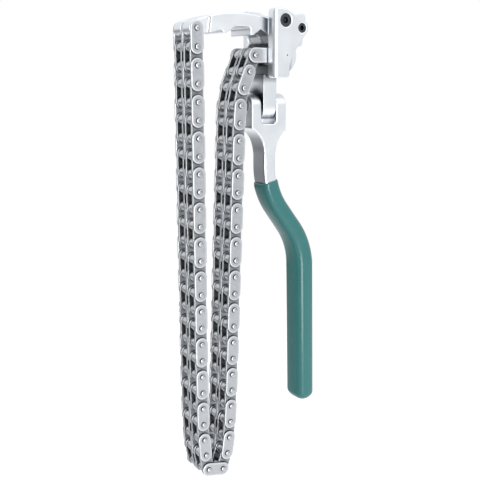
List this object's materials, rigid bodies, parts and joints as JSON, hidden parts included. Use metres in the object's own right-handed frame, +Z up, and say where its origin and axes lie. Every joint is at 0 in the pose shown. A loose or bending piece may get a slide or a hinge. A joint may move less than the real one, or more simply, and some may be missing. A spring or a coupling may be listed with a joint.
{
  "type": "chain oil filter wrench",
  "caption": "Filter wrench with a loop of two-row roller chain hung from a forged head and jaw arm, and a hinged cranked handle with a dipped grip.",
  "frame": {"origin": "on the outer face of the rear cheek, on the tongue's centreline and level with the anchor pin", "axes": "+X to the right along the anchor link towards the jaw arm's tail, +Y out of the rear cheek, +Z up along the hanging tool"},
  "size_m": [0.0855, 0.0341, 0.2645],
  "materials": {
    "satin_chrome": "satin plating on forged steel",
    "chain_steel": "tumbled bright steel",
    "black_steel": "black oxide",
    "dipped_grip": "dipped soft plastic, half gloss"
  },
  "bodies": {
    "head": {"head": "satin_chrome", "jaw_arm": "satin_chrome", "head_screws": "black_steel", "anchor_pin": "chain_steel"},
    "handle": {"handle": "satin_chrome", "grip": "dipped_grip", "hinge_pin": "chain_steel"},
    "anchor_link": {"anchor_link": "chain_steel"},
    "right_run_1": {"inner_link_26": "chain_steel", "outer_link_26": "chain_steel", "inner_link_25": "chain_steel", "outer_link_25": "chain_steel", "inner_link_24": "chain_steel"},
    "right_run_2": {"outer_link_24": "chain_steel", "inner_link_23": "chain_steel", "outer_link_23": "chain_steel", "inner_link_22": "chain_steel"},
    "right_run_3": {"outer_link_22": "chain_steel", "inner_link_21": "chain_steel", "outer_link_21": "chain_steel", "inner_link_20": "chain_steel"},
    "right_run_4": {"outer_link_20": "chain_steel", "inner_link_19": "chain_steel", "outer_link_19": "chain_steel"},
    "right_run_5": {"inner_link_18": "chain_steel", "outer_link_18": "chain_steel", "inner_link_17": "chain_steel"},
    "right_run_6": {"outer_link_17": "chain_steel", "inner_link_16": "chain_steel"},
    "right_run_7": {"outer_link_16": "chain_steel"},
    "right_run_8": {"inner_link_15": "chain_steel"},
    "right_run_9": {"outer_link_15": "chain_steel"},
    "right_run_10": {"inner_link_14": "chain_steel"},
    "left_run_1": {"outer_link_01": "chain_steel", "inner_link_01": "chain_steel", "outer_link_02": "chain_steel", "inner_link_02": "chain_steel", "outer_link_03": "chain_steel"},
    "left_run_2": {"inner_link_03": "chain_steel", "outer_link_04": "chain_steel", "inner_link_04": "chain_steel", "outer_link_05": "chain_steel"},
    "left_run_3": {"inner_link_05": "chain_steel", "outer_link_06": "chain_steel", "inner_link_06": "chain_steel", "outer_link_07": "chain_steel"},
    "left_run_4": {"inner_link_07": "chain_steel", "outer_link_08": "chain_steel", "inner_link_08": "chain_steel"},
    "left_run_5": {"outer_link_09": "chain_steel", "inner_link_09": "chain_steel", "outer_link_10": "chain_steel"},
    "left_run_6": {"inner_link_10": "chain_steel", "outer_link_11": "chain_steel"},
    "left_run_7": {"inner_link_11": "chain_steel", "outer_link_12": "chain_steel"},
    "left_run_8": {"inner_link_12": "chain_steel"},
    "left_run_9": {"outer_link_13": "chain_steel"},
    "left_run_10": {"inner_link_13": "chain_steel"},
    "bottom_link": {"outer_link_14": "chain_steel"}
  },
  "joints": [
    {"name": "handle_swing", "type": "hinge", "parent": "head", "child": "handle", "pos_m": [0, -0.01705, -0.0275], "axis": [1, 0, 0], "range_deg": [-90, 90]},
    {"name": "anchor_turn", "type": "hinge", "parent": "head", "child": "anchor_link", "pos_m": [0.005, -0.01705, 0], "axis": [0, 1, 0], "range_deg": [-1.2, 0.4]},
    {"name": "right_run_1_turn", "type": "hinge", "parent": "anchor_link", "child": "right_run_1", "pos_m": [-0.0111, -0.01705, 0], "axis": [0, 1, 0], "range_deg": [-2.23, 6.8]},
    {"name": "right_run_2_turn", "type": "hinge", "parent": "right_run_1", "child": "right_run_2", "pos_m": [-0.02135, -0.01705, -0.04595], "axis": [0, 1, 0], "range_deg": [-0.614, 0.205]},
    {"name": "right_run_3_turn", "type": "hinge", "parent": "right_run_2", "child": "right_run_3", "pos_m": [-0.0227, -0.01705, -0.08403], "axis": [0, 1, 0], "range_deg": [-3.72, 1.23]},
    {"name": "right_run_4_turn", "type": "hinge", "parent": "right_run_3", "child": "right_run_4", "pos_m": [-0.02404, -0.01705, -0.1221], "axis": [0, 1, 0], "range_deg": [-4.83, 1.59]},
    {"name": "right_run_5_turn", "type": "hinge", "parent": "right_run_4", "child": "right_run_5", "pos_m": [-0.02503, -0.01705, -0.15066], "axis": [0, 1, 0], "range_deg": [-4.51, 1.48]},
    {"name": "right_run_6_turn", "type": "hinge", "parent": "right_run_5", "child": "right_run_6", "pos_m": [-0.02605, -0.01705, -0.17922], "axis": [0, 1, 0], "range_deg": [-3.6, 1.19]},
    {"name": "right_run_7_turn", "type": "hinge", "parent": "right_run_6", "child": "right_run_7", "pos_m": [-0.02681, -0.01705, -0.19825], "axis": [0, 1, 0], "range_deg": [-0.29, 0.86]},
    {"name": "right_run_8_turn", "type": "hinge", "parent": "right_run_7", "child": "right_run_8", "pos_m": [-0.02731, -0.01705, -0.20777], "axis": [0, 1, 0], "range_deg": [-1.14, 3.46]},
    {"name": "right_run_9_turn", "type": "hinge", "parent": "right_run_8", "child": "right_run_9", "pos_m": [-0.02807, -0.01705, -0.21726], "axis": [0, 1, 0], "range_deg": [-1.21, 3.66]},
    {"name": "right_run_10_turn", "type": "hinge", "parent": "right_run_9", "child": "right_run_10", "pos_m": [-0.02946, -0.01705, -0.22668], "axis": [0, 1, 0], "range_deg": [-1.04, 3.16]},
    {"name": "chain_sway", "type": "hinge", "parent": "head", "child": "left_run_1", "pos_m": [-0.04683, -0.01705, 0.01334], "axis": [0, 1, 0], "range_deg": [-2.2, 6.7]},
    {"name": "left_run_2_turn", "type": "hinge", "parent": "left_run_1", "child": "left_run_2", "pos_m": [-0.04649, -0.01705, -0.03428], "axis": [0, 1, 0], "range_deg": [-2.2, 0.72]},
    {"name": "left_run_3_turn", "type": "hinge", "parent": "left_run_2", "child": "left_run_3", "pos_m": [-0.04623, -0.01705, -0.07238], "axis": [0, 1, 0], "range_deg": [-3.7, 1.22]},
    {"name": "left_run_4_turn", "type": "hinge", "parent": "left_run_3", "child": "left_run_4", "pos_m": [-0.04596, -0.01705, -0.11048], "axis": [0, 1, 0], "range_deg": [-3.82, 1.26]},
    {"name": "left_run_5_turn", "type": "hinge", "parent": "left_run_4", "child": "left_run_5", "pos_m": [-0.04576, -0.01705, -0.13906], "axis": [0, 1, 0], "range_deg": [-3.29, 1.08]},
    {"name": "left_run_6_turn", "type": "hinge", "parent": "left_run_5", "child": "left_run_6", "pos_m": [-0.04554, -0.01705, -0.16763], "axis": [0, 1, 0], "range_deg": [-2.5, 0.82]},
    {"name": "left_run_7_turn", "type": "hinge", "parent": "left_run_6", "child": "left_run_7", "pos_m": [-0.04533, -0.01705, -0.18668], "axis": [0, 1, 0], "range_deg": [-1.64, 0.54]},
    {"name": "left_run_8_turn", "type": "hinge", "parent": "left_run_7", "child": "left_run_8", "pos_m": [-0.04488, -0.01705, -0.20572], "axis": [0, 1, 0], "range_deg": [-0.39, 1.17]},
    {"name": "left_run_9_turn", "type": "hinge", "parent": "left_run_8", "child": "left_run_9", "pos_m": [-0.0444, -0.01705, -0.21524], "axis": [0, 1, 0], "range_deg": [-1.14, 3.47]},
    {"name": "left_run_10_turn", "type": "hinge", "parent": "left_run_9", "child": "left_run_10", "pos_m": [-0.0435, -0.01705, -0.22472], "axis": [0, 1, 0], "range_deg": [-1.21, 3.67]},
    {"name": "bottom_link_turn", "type": "hinge", "parent": "left_run_10", "child": "bottom_link", "pos_m": [-0.04178, -0.01705, -0.23409], "axis": [0, 1, 0], "range_deg": [-1.04, 3.15]}
  ],
  "couplings": [
    {"joint": "anchor_turn", "follows": "chain_sway", "ratio": -0.17786},
    {"joint": "right_run_1_turn", "follows": "chain_sway", "ratio": 1.0136},
    {"joint": "right_run_2_turn", "follows": "chain_sway", "ratio": -0.09089},
    {"joint": "right_run_3_turn", "follows": "chain_sway", "ratio": -0.55455},
    {"joint": "right_run_4_turn", "follows": "chain_sway", "ratio": -0.71954},
    {"joint": "right_run_5_turn", "follows": "chain_sway", "ratio": -0.67234},
    {"joint": "right_run_6_turn", "follows": "chain_sway", "ratio": -0.53685},
    {"joint": "right_run_7_turn", "follows": "chain_sway", "ratio": 0.12762},
    {"joint": "right_run_8_turn", "follows": "chain_sway", "ratio": 0.51512},
    {"joint": "right_run_9_turn", "follows": "chain_sway", "ratio": 0.54583},
    {"joint": "right_run_10_turn", "follows": "chain_sway", "ratio": 0.47081},
    {"joint": "left_run_2_turn", "follows": "chain_sway", "ratio": -0.32702},
    {"joint": "left_run_3_turn", "follows": "chain_sway", "ratio": -0.55091},
    {"joint": "left_run_4_turn", "follows": "chain_sway", "ratio": -0.56939},
    {"joint": "left_run_5_turn", "follows": "chain_sway", "ratio": -0.48952},
    {"joint": "left_run_6_turn", "follows": "chain_sway", "ratio": -0.37218},
    {"joint": "left_run_7_turn", "follows": "chain_sway", "ratio": -0.24465},
    {"joint": "left_run_8_turn", "follows": "chain_sway", "ratio": 0.17452},
    {"joint": "left_run_9_turn", "follows": "chain_sway", "ratio": 0.51752},
    {"joint": "left_run_10_turn", "follows": "chain_sway", "ratio": 0.5463},
    {"joint": "bottom_link_turn", "follows": "chain_sway", "ratio": 0.46885}
  ]
}
